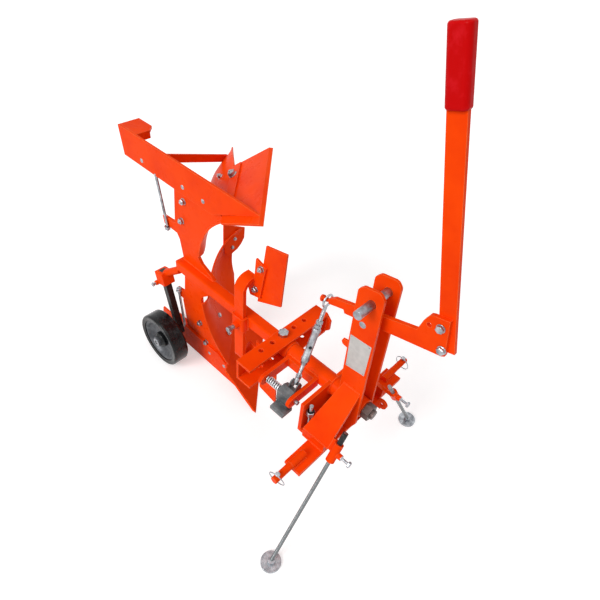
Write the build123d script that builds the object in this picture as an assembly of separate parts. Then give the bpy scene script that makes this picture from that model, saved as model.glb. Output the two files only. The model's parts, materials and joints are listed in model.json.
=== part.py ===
# Reversible single-furrow moldboard plough for a compact tractor, three-point mounted.
# Millimetres. +X is forward (towards the tractor), +Y is left, +Z is up, the floor is z = 0.
# Distances along X are written from the lower link pins and moved by x_shift on export,
# which puts the frame's origin under the middle of the machine's length.
import os
from math import cos, radians, sin, sqrt
from build123d import *

os.makedirs("parts", exist_ok=True)

# ---------------------------------------------------------------- driving dimensions
axis_z = 445.0             # height of the turnover axis
slip = 0.05                # radial clearance of every running fit

# three-point linkage
pin_r = 11.0               # lower link pin radius (category 1)
pin_z = 361.0              # lower link pin height
pin_tip_y = 319.0          # pin tip from the centre plane
pin_root_r = 11.6          # radius of the pin where it is let into the bar
pin_root_y = 196.0         # where the pin's weld on the bar starts
pin_free_y = 252.0         # where its free stretch starts
bar_half_len = 250.0       # lower link bar, half length
bar_x0 = -25.0
bar_x1 = 34.0
bar_t = 12.0
linch_r = 4.6              # linch pin hole radius in the link pins
linch_y = 305.0

# headstock
back_x1 = -65.0            # front face of the back plate
back_t = 12.0
back_half_w = 141.0
back_z1 = 471.0
gusset_t = 10.0
gusset_out_y = 150.0
gusset_out_z = 384.0
gusset_in_z = 541.0

# mast
mast_gap = 60.0            # clear gap between the two mast plates
mast_t = 8.0
mast_top_z = 915.0
mast_top_back_z = 906.0
mast_back_top_x = -35.0
mast_front_top_x = 42.0
mast_back_low_x = -22.0
mast_front_low_x = 56.0
mast_low_z = 405.0
mast_corner_r = 16.0
top_pin_r = 12.5
top_pin_x = 11.0
top_pin_z = 870.0
top_pin_right_y = -94.0
top_pin_left_y = 46.0
spare_hole_r = 6.0
spare_hole_x = 10.0
spare_hole_z = 706.0

# turnover shaft and bearing
shaft_r = 20.0
shaft_thread_r = 15.0
tube_r = 30.0              # bearing tube outer radius (fills the mast gap)
tube_x0 = -246.0
tube_x1 = 54.0
shaft_flange_r = 33.0
nut_af = 46.0
nut_t = 24.0

# hand lever
lever_pin_r = 10.0
lever_pivot_x = 0.0
lever_pivot_z = 790.0
lever_boss_r = 21.0
lever_boss_gap = 0.5
arm_t = 12.0
arm_slope = 17.0           # degrees above level, rising forward
arm_back = 140.0           # pivot to the rear end of the arm, along it
arm_front = 150.0
arm_h = 44.0
grip_len = 133.0
grip_w = 47.0
grip_t = 32.0
lever_w = 42.0
lever_t = 10.0
lever_foot_x = 204.0
lever_foot_z = 830.0
lever_top_x = 17.5
lever_top_z = 1472.5

# turnbuckle link, hung from the neck of the lever's tail by a ring
neck_from = 138.0          # along the arm, behind the pivot
neck_to = 162.0
neck_across = 4.5
neck_r = 5.5
knob_r = 10.0
knob_len = 6.0
saddle_r = 6.0             # cross roller under the ring, on the swing axis of the link
saddle_half = 3.0
ring_at = 150.0            # where the ring hangs, along the arm
ring_r = 18.5
ring_wire_r = 3.5
ring_side = 4.0            # ring centre, left of the neck's middle
ring_gap = 1.4             # at the ring's middle; its front edge then just clears the sloping neck
link_end_x = -135.0
link_end_y = -103.0
link_end_z = 474.0
link_r = 5.5
link_body_r = 9.0
link_nut_af = 17.0

# latch
latch_pin_r = 7.0
latch_pin_y = -130.0
latch_pin_z = 440.0
latch_pin_out = 12.0       # how far the pin sticks out of the front ear
ear_t = 12.0
ear_z0 = 422.0
ear_z1 = 460.0
ear_end_y = -141.0         # centre of the ears' round ends
rear_ear_x0 = -236.0
front_ear_x0 = -120.0
latch_web_t = 14.0
block_x0 = -165.0
block_gap = 0.5
foot_plate_x0 = -160.0
foot_plate_x1 = -108.0
spring_r = 10.0
spring_wire_r = 2.5
spring_turns = 7

# cross channel
chan_x0 = -313.0
chan_x1 = -253.0
chan_y0 = -180.0
chan_y1 = 175.0
chan_h = 85.0
chan_t = 8.0
end_plate_t = 8.0
end_plate_reach = 15.0     # end plate ahead of the channel's front edge
end_plate_corner = 22.0
chan_hole_r = 8.5
chan_hole_x = -291.0
chan_pitch = 49.0
chan_bolt_r = 8.0
chan_bolt_af = 30.0
chan_bolt_head = 13.0
chan_bolt_below = 12.0

# main beam
beam_y0 = -34.0
beam_y1 = 6.0
beam_h = 45.0
beam_z1 = 487.0            # beam top, flush with the channel's top
beam_wall = 5.0
beam_back_x = -806.0
beam_corner = 6.0

# plough bodies (the lower one is drawn, the upper one is its mirror image)
leg_y0 = -4.0
leg_y1 = 8.0
side_t = 8.0               # landside thickness, outside the leg
side_h = 108.0
side_back_upper_x = -1110.0
side_back_lower_x = -1000.0
side_z0 = 1.0              # landside sole above the floor
share_tip_x = -363.0
share_tip_y = -38.0
share_wing_x = -667.0
share_wing_y = 295.0
share_slope = 36.0         # degrees
share_run = 130.0          # share width, measured level
share_wing_back = 14.0     # how far the share's rear corner passes its wing tip
share_t = 8.0
frog_t = 6.0
frog_from = 205.0          # along the cutting edge
frog_to = 452.0
frog_front = 100.0         # behind the cutting edge, measured level
board_t = 6.0
board_foot_z = 85.0        # where the moldboard's face starts, under the share's rear edge
shin_low_x = -516.0
shin_mid_x = -645.0
shin_mid_z = 190.0
shin_top_x = -695.0
shin_top_z = 440.0
shin_cut_z = 330.0         # height of the board's front corner
board_top_z = 386.0
board_low_top_z = 302.0    # lowest part of the board's top edge
heel_t = 9.0
heel_y = 72.0
heel_len = 100.0
heel_lip_t = 8.0
heel_lip_h = 28.0
brace_h = 28.0
brace_t = 8.0

# skimmers
skim_t = 6.0
strap_t = 14.0
strap_w = 42.0
strap_x0 = -471.0
strap_y0 = -50.0
hook_top_z = 642.0
hook_bend_r = 44.0
hook_end_y = 10.0
pocket_wall = 8.0
pocket_gap = 0.1
pocket_z0 = 430.0
pocket_corner = 10.0

# depth wheel
wheel_r = 115.0
wheel_w = 65.0
wheel_x = -830.0
wheel_y0 = -147.0
tread_t = 22.0
rim_inset = 8.0
bowl_depth = 17.0
bowl_wall = 12.0
hub_r = 22.0
hub_out = 6.0              # how far the hub passes the tyre's outer face
stem_w = 25.0
stem_y = -40.0
stem_lean = 14.0           # degrees, top rearward
stem_below = 18.0          # stem below the axle, along it
stem_top = 284.0           # stem above the axle, along it
socket_gap = 0.1
socket_wall = 8.0
socket_h = 58.0
socket_at = 226.0          # socket's lower face above the axle, along the stem
wheel_arm_r = 15.0
axle_r = 10.0
axle_out = 10.0

# parking stands
stand_x = 70.0
stand_foot_y = 376.0
stand_low_z = 14.0
stand_top_y = 88.0
stand_top_z = 488.0
stand_right_top_z = 452.0
stand_r = 6.0
sleeve_r = 8.5
stand_at_z = 392.0         # height of the clamp tube's middle
stand_tube_r = 14.0
stand_tube_len = 62.0
foot_r = 33.0
foot_t = 8.0


# ---------------------------------------------------------------- helpers
def solid(shape):
    """The single solid of a shape."""
    return shape if isinstance(shape, Solid) else shape.solids()[0]


def prism(points, direction):
    """Flat polygon pushed along a direction."""
    face = Face(Wire.make_polygon([Vector(*p) for p in points], close=True))
    return Solid.extrude(face, Vector(*direction))


def plate_xz(points, y0, y1):
    """Plate lying in the XZ plane between two Y values."""
    return prism([(x, y0, z) for x, z in points], (0, y1 - y0, 0))


def plate_yz(points, x0, x1):
    """Plate lying in the YZ plane between two X values."""
    return prism([(x0, y, z) for y, z in points], (x1 - x0, 0, 0))


def block(x0, x1, y0, y1, z0, z1):
    """Box between six faces."""
    box = Box(x1 - x0, y1 - y0, z1 - z0)
    return Pos((x0 + x1) / 2, (y0 + y1) / 2, (z0 + z1) / 2) * box


def rod(start, end, radius):
    """Round bar between two points."""
    a = Vector(*start)
    b = Vector(*end)
    return Solid.make_cylinder(radius, (b - a).length, Plane(origin=a, z_dir=(b - a)))


def hexagon(start, end, across_flats):
    """Hexagonal prism between two points."""
    a = Vector(*start)
    b = Vector(*end)
    sketch = Plane(origin=a, z_dir=(b - a)) * RegularPolygon(across_flats / 2, 6, major_radius=False)
    return extrude(sketch, (b - a).length)


def bar(start, end, width, thick, side):
    """Rectangular bar between two points; side is the direction of its width."""
    a = Vector(*start)
    b = Vector(*end)
    sketch = Plane(origin=a, x_dir=Vector(*side), z_dir=(b - a)) * Rectangle(width, thick)
    return extrude(sketch, (b - a).length)


def turned(shape):
    """Mirror image about the level plane through the turnover axis."""
    return shape.mirror(Plane(origin=(0, 0, axis_z), z_dir=(0, 0, 1)))


def left(shape):
    """Mirror image about the centre plane."""
    return shape.mirror(Plane.XZ)


pieces = {}


def save(shape, name):
    """Keep one node for the export at the end."""
    parts = shape.solids()
    assert len(parts) == 1, name
    pieces[name] = parts[0]


# ---------------------------------------------------------------- headstock
bar_z1 = pin_z - pin_r
bar_z0 = bar_z1 - bar_t
link_bar = block(bar_x0, bar_x1, -bar_half_len, bar_half_len, bar_z0, bar_z1)
pin_bed = rod((0, -pin_root_y, pin_z), (0, -bar_half_len - 10, pin_z), pin_root_r)
link_bar = link_bar - pin_bed - left(pin_bed)
save(link_bar, "lower_link_bar")

pin_right = rod((0, -pin_root_y, pin_z), (0, -pin_free_y, pin_z), pin_root_r)
pin_right = pin_right + rod((0, -pin_free_y, pin_z), (0, -pin_tip_y, pin_z), pin_r)
pin_right = pin_right - rod((0, -linch_y, pin_z - 20), (0, -linch_y, pin_z + 20), linch_r)
save(pin_right, "lower_link_pin_right")
save(left(pin_right), "lower_link_pin_left")

back_z0 = bar_z0
back = block(back_x1 - back_t, back_x1, -back_half_w, back_half_w, back_z0, back_z1)
back = back + block(back_x1, bar_x0, -back_half_w, back_half_w, bar_z0, bar_z1)
back = back - rod((back_x1 - 30, 0, axis_z), (back_x1 + 10, 0, axis_z), tube_r)
save(back, "headstock_back_plate")

mast_out = mast_gap / 2 + mast_t


def make_mast(sign):
    """One mast plate, right (-1) or left (+1)."""
    inner = sign * mast_gap / 2
    outer = sign * mast_out
    pts = [(mast_back_low_x, mast_low_z), (mast_front_low_x, mast_low_z)]
    pts += [(mast_front_top_x, mast_top_z - 16), (mast_front_top_x - 14, mast_top_z)]
    pts += [(mast_back_top_x + 14, mast_top_back_z), (mast_back_top_x, mast_top_back_z - 16)]
    plate = plate_xz(pts, inner, outer)
    top_edges = plate.edges().filter_by(Axis.Y).filter_by(lambda e: e.center().Z > mast_top_back_z - 20)
    plate = fillet(top_edges, mast_corner_r)
    low = [(mast_back_low_x, bar_z1), (bar_x1, bar_z1), (mast_front_low_x, mast_low_z)]
    low += [(mast_back_low_x, mast_low_z)]
    plate = plate + plate_xz(low, inner, outer)
    plate = plate - rod((top_pin_x, -80, top_pin_z), (top_pin_x, 80, top_pin_z), top_pin_r)
    plate = plate - rod((spare_hole_x, -80, spare_hole_z), (spare_hole_x, 80, spare_hole_z), spare_hole_r)
    pivot = rod((lever_pivot_x, -80, lever_pivot_z), (lever_pivot_x, 80, lever_pivot_z), lever_pin_r)
    return plate - pivot


save(make_mast(-1), "mast_plate_right")
save(make_mast(1), "mast_plate_left")

g_low = [(-50, -gusset_out_y, gusset_out_z), (46, -gusset_out_y, gusset_out_z)]
g_high = [(46, -mast_out, gusset_in_z), (-14, -mast_out, gusset_in_z)]
g_len = sqrt((gusset_out_y - mast_out) ** 2 + (gusset_in_z - gusset_out_z) ** 2)
g_ny = (gusset_in_z - gusset_out_z) / g_len
g_nz = (gusset_out_y - mast_out) / g_len
gusset = prism(g_low + g_high, (0, gusset_t * g_ny, -gusset_t * g_nz))
gusset = gusset + block(-50, bar_x1, -gusset_out_y, -gusset_out_y + gusset_t, bar_z1, gusset_out_z)
gusset = gusset - block(-100, 100, -mast_out, 200, 300, 700)
save(gusset, "headstock_gusset_right")
save(left(gusset), "headstock_gusset_left")

cross_front = [(28, bar_z1), (bar_x1, bar_z1), (53, mast_low_z - 3), (47, mast_low_z - 3)]
save(plate_xz(cross_front, -mast_gap / 2, mast_gap / 2), "mast_cross_plate")

lug_x = 60.0
lug_y = 101.0
lug_z = 375.0
lug_t = 8.0
lug_r = 19.0
lug_hole_r = 7.0
lug_foot_x = 12.0
lug_foot_top = 372.0
lug = rod((lug_x, lug_y - lug_t / 2, lug_z), (lug_x, lug_y + lug_t / 2, lug_z), lug_r)
lug = lug + block(lug_foot_x, lug_x, lug_y - lug_t / 2, lug_y + lug_t / 2, bar_z1, lug_foot_top)
lug = lug - rod((lug_x, 0, lug_z), (lug_x, 2 * lug_y, lug_z), lug_hole_r)
save(lug, "chain_lug")

stop_x = -53.0
stop_y = 120.0
stop_top_z = 464.0
stop_r = 6.0
stop_head_h = 12.0
stop_head_af = 17.0
stop = rod((stop_x, -stop_y, bar_z1), (stop_x, -stop_y, stop_top_z), stop_r)
stop = stop + hexagon((stop_x, -stop_y, bar_z1), (stop_x, -stop_y, bar_z1 + stop_head_h), stop_head_af)
save(stop, "stop_bolt_right")
save(left(stop), "stop_bolt_left")

tube = rod((tube_x0, 0, axis_z), (tube_x1, 0, axis_z), tube_r)
tube = tube - rod((tube_x0 - 5, 0, axis_z), (tube_x1 + 5, 0, axis_z), shaft_r + slip)
save(tube, "bearing_tube")

top_pin = rod((top_pin_x, top_pin_right_y, top_pin_z), (top_pin_x, top_pin_left_y, top_pin_z), top_pin_r)
save(top_pin, "top_link_pin")

lever_pin_end = (lever_pivot_x, mast_out, lever_pivot_z)
lever_pin = rod((lever_pivot_x, -mast_out, lever_pivot_z), lever_pin_end, lever_pin_r)
save(lever_pin, "lever_pivot_pin")

# ---------------------------------------------------------------- stands
stand_dir = Vector(0, stand_top_y - stand_foot_y, stand_top_z - stand_low_z).normalized()


def stand_point(z):
    """Point on the left stand's centre line at a height."""
    s = (z - stand_low_z) / (stand_top_z - stand_low_z)
    return Vector(stand_x, stand_foot_y + (stand_top_y - stand_foot_y) * s, z)


mid = stand_point(stand_at_z)
t0 = mid - stand_dir * (stand_tube_len / 2)
t1 = mid + stand_dir * (stand_tube_len / 2)
clamp = rod(t0, t1, stand_tube_r)
clamp_boss_len = 12.0      # how far the set bolt's boss stands off the tube
clamp_boss_r = 9.0
gusset_x1 = 46.0           # front edge of the gusset's sloping face
boss0 = mid + Vector(stand_tube_r + clamp_boss_len, 0, 0)
clamp = clamp + rod(mid, boss0, clamp_boss_r)
web_a = Vector(gusset_x1, gusset_out_y, gusset_out_z)
web_b = Vector(gusset_x1, mast_out, gusset_in_z)
along = (web_b - web_a).normalized()
inward = Vector(0, -g_ny, -g_nz)
w0 = web_a + along * 2
w1 = web_a + along * 40
web = prism([w0, w1, w1 + inward * gusset_t, w0 + inward * gusset_t], (stand_x - gusset_x1, 0, 0))
clamp = clamp + web
clamp = clamp - rod(t0 - stand_dir * 40, t1 + stand_dir * 40, stand_r + slip)
save(left(clamp), "stand_clamp_right")
save(clamp, "stand_clamp_left")

rod_low = stand_point(stand_low_z)
rod_top = stand_point(stand_top_z)
save(left(rod(rod_low, stand_point(stand_right_top_z), stand_r)), "stand_rod_right")
save(rod(rod_low, rod_top, stand_r), "stand_rod_left")

sleeve = rod(t1, stand_point(stand_right_top_z), sleeve_r)
sleeve = sleeve - rod(t0, rod_top, stand_r + slip) - clamp
save(left(sleeve), "stand_sleeve_right")

foot = Pos(stand_x, stand_foot_y, foot_t / 2) * Cylinder(foot_r, foot_t)
foot = foot + Pos(stand_x, stand_foot_y, foot_t + 5) * Cylinder(11, 14)
foot = foot - rod(rod_low, rod_top, stand_r)
foot = solid(sorted(foot.solids(), key=lambda s: s.volume)[-1])
save(left(foot), "stand_foot_right")
save(foot, "stand_foot_left")

# ---------------------------------------------------------------- latch
ear_mid_z = (ear_z0 + ear_z1) / 2
ear_r = (ear_z1 - ear_z0) / 2
rear_ear_x1 = rear_ear_x0 + ear_t
front_ear_x1 = front_ear_x0 + ear_t


def latch_ear(x0, x1):
    """Flat bar with a round end, standing out from the bearing tube."""
    arm = block(x0, x1, ear_end_y, -tube_r + 4, ear_z0, ear_z1)
    return arm + rod((x0, ear_end_y, ear_mid_z), (x1, ear_end_y, ear_mid_z), ear_r)


bracket = latch_ear(rear_ear_x0, rear_ear_x1) + latch_ear(front_ear_x0, front_ear_x1)
bracket = bracket + block(rear_ear_x0, front_ear_x1, -tube_r + 4 - latch_web_t, -tube_r + 4, ear_z0, ear_z1)
bracket = bracket - rod((tube_x0, 0, axis_z), (0, 0, axis_z), tube_r)
bracket = bracket - rod((tube_x0, latch_pin_y, latch_pin_z), (0, latch_pin_y, latch_pin_z), latch_pin_r)
save(bracket, "latch_bracket")

latch_pin_x1 = front_ear_x1 + latch_pin_out
latch_pin_end = (latch_pin_x1, latch_pin_y, latch_pin_z)
latch_pin = rod((rear_ear_x0, latch_pin_y, latch_pin_z), latch_pin_end, latch_pin_r)
save(latch_pin, "latch_pin")


def about_pin(points):
    """Points of the YZ plane given from the latch pin's axis."""
    return [(latch_pin_y + y, latch_pin_z + z) for y, z in points]


block_shape = about_pin([(-22, -28), (-20, 18), (8, 24), (26, 15), (26, -6), (12, -28)])
latch = plate_yz(block_shape, block_x0, front_ear_x0 - block_gap)
foot_shape = about_pin([(-52, -38), (-52, -26), (-44, -24), (-10, -24), (-10, -38)])
latch = latch + plate_yz(foot_shape, foot_plate_x0, foot_plate_x1)
latch = latch - rod((tube_x0, latch_pin_y, latch_pin_z), (0, latch_pin_y, latch_pin_z), latch_pin_r + slip)
save(latch, "latch_block")

spring_len = block_x0 - rear_ear_x1 - 2 * spring_wire_r
pitch = spring_len / spring_turns
helix_start = Plane(origin=(rear_ear_x1 + spring_wire_r, latch_pin_y, latch_pin_z), z_dir=(1, 0, 0))
helix = helix_start * Helix(pitch, spring_len, spring_r)
coil_face = Plane(origin=helix @ 0, z_dir=helix % 0) * Circle(spring_wire_r)
save(sweep(coil_face, path=helix), "latch_spring")

# ---------------------------------------------------------------- lever
sl = radians(arm_slope)


def on_arm(along, across):
    """Point of the lever arm in XZ from distances along and across it."""
    x = lever_pivot_x + along * cos(sl) - across * sin(sl)
    z = lever_pivot_z + along * sin(sl) + across * cos(sl)
    return (x, z)


def in_arm(along, across, y=0.0):
    """Same point in space."""
    x, z = on_arm(along, across)
    return Vector(x, y, z)


half = arm_h / 2
pts = [on_arm(-arm_back, -3), on_arm(-arm_back, 12), on_arm(-117, half), on_arm(arm_front - 14, half)]
pts += [(132, 889), (142, 912), (150, 916), (190, 926), (208, 826), (200, 820)]
pts += [on_arm(-87, -15), on_arm(-88.8, -3)]
arm = plate_xz(pts, -arm_t / 2, arm_t / 2)
boss_half = mast_gap / 2 - lever_boss_gap
boss_a = (lever_pivot_x, -boss_half, lever_pivot_z)
arm = arm + rod(boss_a, (lever_pivot_x, boss_half, lever_pivot_z), lever_boss_r)
arm = arm - rod(boss_a, (lever_pivot_x, boss_half, lever_pivot_z), lever_pin_r + slip)
arm = arm - rod((148, -20, 885), (148, 20, 885), 6.5)
arm = arm + rod(in_arm(-neck_from, neck_across), in_arm(-neck_to, neck_across), neck_r)
arm = arm + rod(in_arm(-neck_to, neck_across), in_arm(-neck_to - knob_len, neck_across), knob_r)
saddle_low = in_arm(-ring_at, neck_across, -saddle_half)
arm = arm + rod(saddle_low, in_arm(-ring_at, neck_across, saddle_half), saddle_r)
save(arm, "lever_arm")

foot_pt = (lever_foot_x, arm_t / 2 + lever_t / 2, lever_foot_z)
top_pt = (lever_top_x, arm_t / 2 + lever_t / 2, lever_top_z)
lever_bar = bar(foot_pt, top_pt, lever_t, lever_w, (0, 1, 0))
grip_dir = (Vector(*top_pt) - Vector(*foot_pt)).normalized()
grip_a = Vector(*top_pt) - grip_dir * grip_len
grip = bar(grip_a, Vector(*top_pt) + grip_dir * 6, grip_t, grip_w, (0, 1, 0))
grip = fillet(grip.edges().filter_by(lambda e: e.length > 100), 12)
grip = fillet(grip.edges().filter_by(lambda e: e.length < 100), 6)
grip = grip - lever_bar
save(lever_bar, "lever_bar")
save(grip, "lever_grip")

# ---------------------------------------------------------------- turnbuckle
neck_mid = in_arm(-ring_at, neck_across)
hang = ring_r - ring_wire_r - neck_r - ring_gap
ring_drop = sqrt(hang * hang - ring_side * ring_side)
ring_mid = Vector(neck_mid.X, ring_side, neck_mid.Z - ring_drop)
low = Vector(link_end_x, link_end_y, link_end_z)
ldir = (low - ring_mid).normalized()
link = rod(ring_mid + ldir * ring_r, low, link_r)
link = link + rod(ring_mid + ldir * 92, ring_mid + ldir * 205, link_body_r)
for start in (66, 80, 207):
    link = link + hexagon(ring_mid + ldir * start, ring_mid + ldir * (start + 9), link_nut_af)
link = link + Pos(ring_mid.X, ring_mid.Y, ring_mid.Z) * Rot(0, 90, 0) * Torus(ring_r, ring_wire_r)
save(link, "turnbuckle")

# ---------------------------------------------------------------- turnover group
shaft = rod((chan_x0 + chan_t, 0, axis_z), (tube_x1 + 2, 0, axis_z), shaft_r)
shaft = shaft + rod((tube_x1 + 1, 0, axis_z), (tube_x1 + 2 + nut_t + 8, 0, axis_z), shaft_thread_r)
shaft = shaft + rod((chan_x0 + chan_t, 0, axis_z), (tube_x0 - 0.5, 0, axis_z), shaft_flange_r)
shaft = shaft - rod((chan_hole_x, 0, 300), (chan_hole_x, 0, 600), chan_hole_r)
save(shaft, "turnover_shaft")

nut = hexagon((tube_x1 + 2, 0, axis_z), (tube_x1 + 2 + nut_t, 0, axis_z), nut_af)
nut = nut - rod((0, 0, axis_z), (200, 0, axis_z), shaft_thread_r)
save(nut, "shaft_nut")

cz0 = axis_z - chan_h / 2
cz1 = axis_z + chan_h / 2
chan = block(chan_x0, chan_x1, chan_y0, chan_y1, cz0, cz1)
chan = chan - block(chan_x0 + chan_t, chan_x1 + 10, chan_y0 - 10, chan_y1 + 10, cz0 + chan_t, cz1 - chan_t)
for k in (-2, -1, 0, 1, 2):
    y = k * chan_pitch
    chan = chan - rod((chan_hole_x, y, cz0 - 20), (chan_hole_x, y, cz1 + 20), chan_hole_r)
end_x1 = chan_x1 + end_plate_reach
end_cut = end_x1 - end_plate_corner
end_shape = [(chan_x0, cz0), (end_cut, cz0), (end_x1, cz0 + end_plate_corner)]
end_shape += [(end_x1, cz1 - end_plate_corner), (end_cut, cz1), (chan_x0, cz1)]
chan = chan + plate_xz(end_shape, chan_y1, chan_y1 + end_plate_t)
save(chan, "cross_channel")

chan_bolt = hexagon((chan_hole_x, 0, cz1), (chan_hole_x, 0, cz1 + chan_bolt_head), chan_bolt_af)
chan_bolt = chan_bolt + rod((chan_hole_x, 0, cz0 - chan_bolt_below), (chan_hole_x, 0, cz1), chan_bolt_r)
save(chan_bolt, "channel_bolt")

beam_z0 = beam_z1 - beam_h
beam = block(beam_back_x, chan_x0, beam_y0, beam_y1, beam_z0, beam_z1)
beam = fillet(beam.edges().filter_by(Axis.X), beam_corner)
inner_y0 = beam_y0 + beam_wall
inner_y1 = beam_y1 - beam_wall
inner_z0 = beam_z0 + beam_wall
inner_z1 = beam_z1 - beam_wall
beam = beam - block(beam_back_x + beam_wall, chan_x0 + 5, inner_y0, inner_y1, inner_z0, inner_z1)
save(beam, "main_beam")

# ---------------------------------------------------------------- plough body, lower
tip = Vector(share_tip_x, share_tip_y, side_z0)
wing = Vector(share_wing_x, share_wing_y, side_z0)
edge = (wing - tip).normalized()
back_dir = Vector(-edge.Y, edge.X, 0)
slope = radians(share_slope)
rise = Vector(back_dir.X * cos(slope), back_dir.Y * cos(slope), sin(slope))
normal = Vector(-back_dir.X * sin(slope), -back_dir.Y * sin(slope), cos(slope))
run = share_run / cos(slope)
edge_len = (wing - tip).length


def on_share(along, up, deep):
    """Point of the share from distances along the edge, up the slope and into the plate."""
    return tip + edge * along + rise * up - normal * deep


def on_body(along, back, height):
    """Point from the share's tip: along the cutting edge, level behind it, and above the sole."""
    flat = tip + edge * along + back_dir * back
    return Vector(flat.X, flat.Y, height)


root_along = -(back_dir.Y * share_run) / edge.Y + 4
face_pts = [on_share(0, 0, 0), on_share(edge_len, 0, 0)]
face_pts += [on_share(edge_len + share_wing_back, run, 0), on_share(root_along, run, 0)]
share = Solid.extrude(Face(Wire.make_polygon(face_pts, close=True)), normal * -share_t)
share = share & block(-1000, -300, -100, 400, side_z0, 300)
save(share, "share_lower")
save(turned(share), "share_upper")

frog_up = frog_front / cos(slope)
frog_pts = [on_share(frog_from, frog_up, share_t), on_share(frog_to, frog_up, share_t)]
frog_pts += [on_share(frog_to, run - 2, share_t), on_share(frog_from, run - 2, share_t)]
frog = Solid.extrude(Face(Wire.make_polygon(frog_pts, close=True)), normal * -frog_t)
save(frog, "frog_lower")
save(turned(frog), "frog_upper")


def section(a, b, c, reach):
    """Closed section of the moldboard through three points of its face; reach is its depth behind it."""
    face_arc = Edge.make_three_point_arc(a, b, c)
    hub = face_arc.arc_center
    grow = ((a - hub).length + reach) / (a - hub).length
    far = [hub + (v - hub) * grow for v in (a, b, c)]
    back_arc = Edge.make_three_point_arc(far[0], far[1], far[2])
    foot_edge = Edge.make_line(a, far[0])
    head_edge = Edge.make_line(c, far[2])
    return Wire([face_arc, head_edge, back_arc, foot_edge])


shin_y = leg_y0 - side_t
shin = [Vector(shin_low_x, shin_y, board_foot_z), Vector(shin_mid_x, shin_y, shin_mid_z)]
shin.append(Vector(shin_top_x, shin_y, shin_top_z))
middle = [on_body(470, 130, 92), on_body(470, 206, 170), on_body(470, 226, 300)]
flank = [on_body(600, 150, 112), on_body(600, 206, 188), on_body(600, 194, 345)]
tail = [on_body(674, 160, 126), on_body(674, 170, 225), on_body(674, 117, 400)]
board = Solid.make_loft([section(*row, board_t) for row in (shin, middle, flank, tail)], ruled=False)
top_line = [(shin_y - 20, shin_cut_z), (shin_y + 25, board_low_top_z + 26)]
top_line += [(60, board_low_top_z), (150, board_low_top_z)]
top_line += [(360, board_top_z), (460, board_top_z), (460, 60), (shin_y - 20, 60)]
board = board & plate_yz(top_line, -1100, -300)
share_back = [on_share(-300, run, -200), on_share(1100, run, -200)]
share_back += [on_share(1100, run, 200), on_share(-300, run, 200)]
board = board - Solid.extrude(Face(Wire.make_polygon(share_back, close=True)), rise * -400)
board = solid(sorted(board.solids(), key=lambda piece: piece.volume)[-1])
save(board, "moldboard_lower")
save(turned(board), "moldboard_upper")

behind = run + 10
share_under = [on_share(-200, -200, share_t), on_share(900, -200, share_t)]
share_under += [on_share(900, behind, share_t), on_share(-200, behind, share_t)]
over_share = Solid.extrude(Face(Wire.make_polygon(share_under, close=True)), normal * 400)
leg_rear = [(-838, 254), (-822, 112), (-822, 20)]
leg_front = [(-470, 20), (-470, 250), (-717, 320), (-717, 345), (-700, 366)]


def leg_plate(top_z, top_x, tab):
    """Leg standing behind the moldboard, up to the beam."""
    outline = [(-804, top_z)] + tab + leg_rear + leg_front + [(top_x - 12, top_z - 11), (top_x, top_z)]
    plate = plate_xz(outline, leg_y0, leg_y1)
    cut = (plate - board - over_share - frog).solids()
    return sorted(cut, key=lambda piece: piece.center().X)[0]


tab_lower = [(-819, 322), (-830, 304), (-872, 298), (-876, 268), (-835, 262)]
tab_upper = [(-819, 322), (-832, 302), (-905, 300), (-912, 268), (-837, 262)]
leg_lower = leg_plate(beam_z0, -610, tab_lower)
leg_upper = leg_plate(2 * axis_z - beam_z1, -632, tab_upper)
save(leg_lower, "body_leg_lower")
save(turned(leg_upper), "body_leg_upper")

side_top = side_z0 + side_h


def landside(back_x):
    """Landside bar of one body, ending at its rear."""
    outline = [(back_x, side_z0), (-404, side_z0), (-618, side_top)]
    outline += [(-814, side_top), (back_x + 14, side_top - 2)]
    plate = plate_xz(outline, leg_y0 - side_t, leg_y0) - over_share - board
    return solid(sorted(plate.solids(), key=lambda piece: piece.volume)[-1])


def heel_piece(back_x):
    """Angled wearing piece under the rear end of a landside."""
    front_x = back_x + heel_len
    plan = [(back_x, leg_y0), (front_x, leg_y0), (front_x, heel_y - 24)]
    plan += [(front_x - 24, heel_y), (back_x, heel_y)]
    piece = prism([(x, y, side_z0) for x, y in plan], (0, 0, heel_t))
    return piece + block(front_x - heel_lip_t, front_x, leg_y0, heel_y - 24, side_z0, side_z0 + heel_lip_h)


save(landside(side_back_lower_x), "landside_lower")
save(turned(landside(side_back_upper_x)), "landside_upper")
save(heel_piece(side_back_lower_x), "heel_lower")
save(turned(heel_piece(side_back_upper_x)), "heel_upper")

brace_end = on_body(630, 182, 150)
brace = bar((-858, leg_y0 - 20, 16), (brace_end.X, brace_end.Y, brace_end.Z), brace_t, brace_h, (1, 0.24, 0))
brace = brace - block(-1000, -700, leg_y0 - 60, leg_y0, 0, 200)
brace = solid(sorted((brace - board).solids(), key=lambda piece: piece.volume)[-1])
save(brace, "brace_lower")
save(turned(brace), "brace_upper")


def tie_rod(low_x, high_x):
    """Rod from the top edge of a landside up past the leg's tab."""
    y = leg_y0 - 5
    piece = rod((low_x, y, side_top - 8), (high_x, y, 296), 5.0) - landside(side_back_upper_x)
    return solid(sorted(piece.solids(), key=lambda part: part.volume)[-1])


save(tie_rod(-837, -853), "tie_rod_lower")
save(turned(tie_rod(-916, -880)), "tie_rod_upper")

# ---------------------------------------------------------------- wheel
lean = radians(stem_lean)
up = Vector(-sin(lean), 0, cos(lean))
axle_mid = Vector(wheel_x, stem_y, wheel_r)
stem = bar(axle_mid - up * stem_below, axle_mid + up * stem_top, stem_w, stem_w, (0, 1, 0))
stem = stem + rod(axle_mid, (wheel_x, wheel_y0 - axle_out, wheel_r), axle_r)
save(stem, "wheel_stem")

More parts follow.
